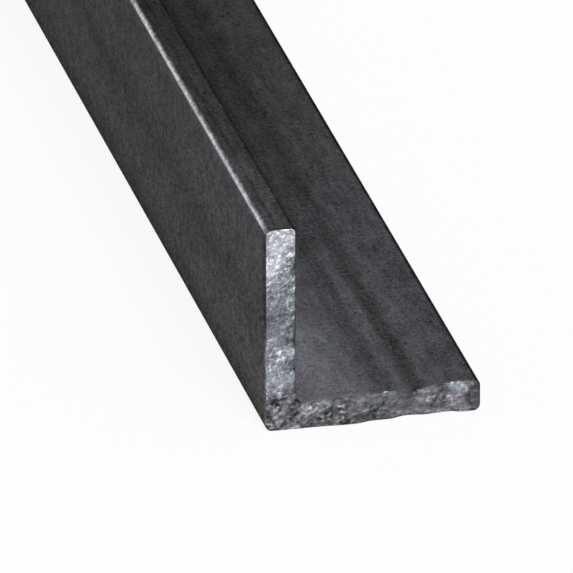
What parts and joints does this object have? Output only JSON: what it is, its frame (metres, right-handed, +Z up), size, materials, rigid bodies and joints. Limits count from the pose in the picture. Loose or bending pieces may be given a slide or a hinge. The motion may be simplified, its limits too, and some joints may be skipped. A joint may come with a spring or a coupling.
{
  "type": "steel angle section",
  "caption": "Equal-leg hot-rolled steel angle with a tight root fillet, eased toes, dark mill scale on its long faces and bare sheared ends.",
  "frame": {"origin": "on the plane the flange rests on, under the middle of the bar both across its width and along its length", "axes": "+X across the flange from the heel to the flange's toe; +Y along the bar, away from the end shown nearest in the picture; +Z up the web from the flange's underside"},
  "size_m": [0.035, 1, 0.035],
  "materials": {
    "mill_scale": "satin"
  },
  "bodies": {
    "root": {"angle_bar": "mill_scale"}
  },
  "joints": []
}
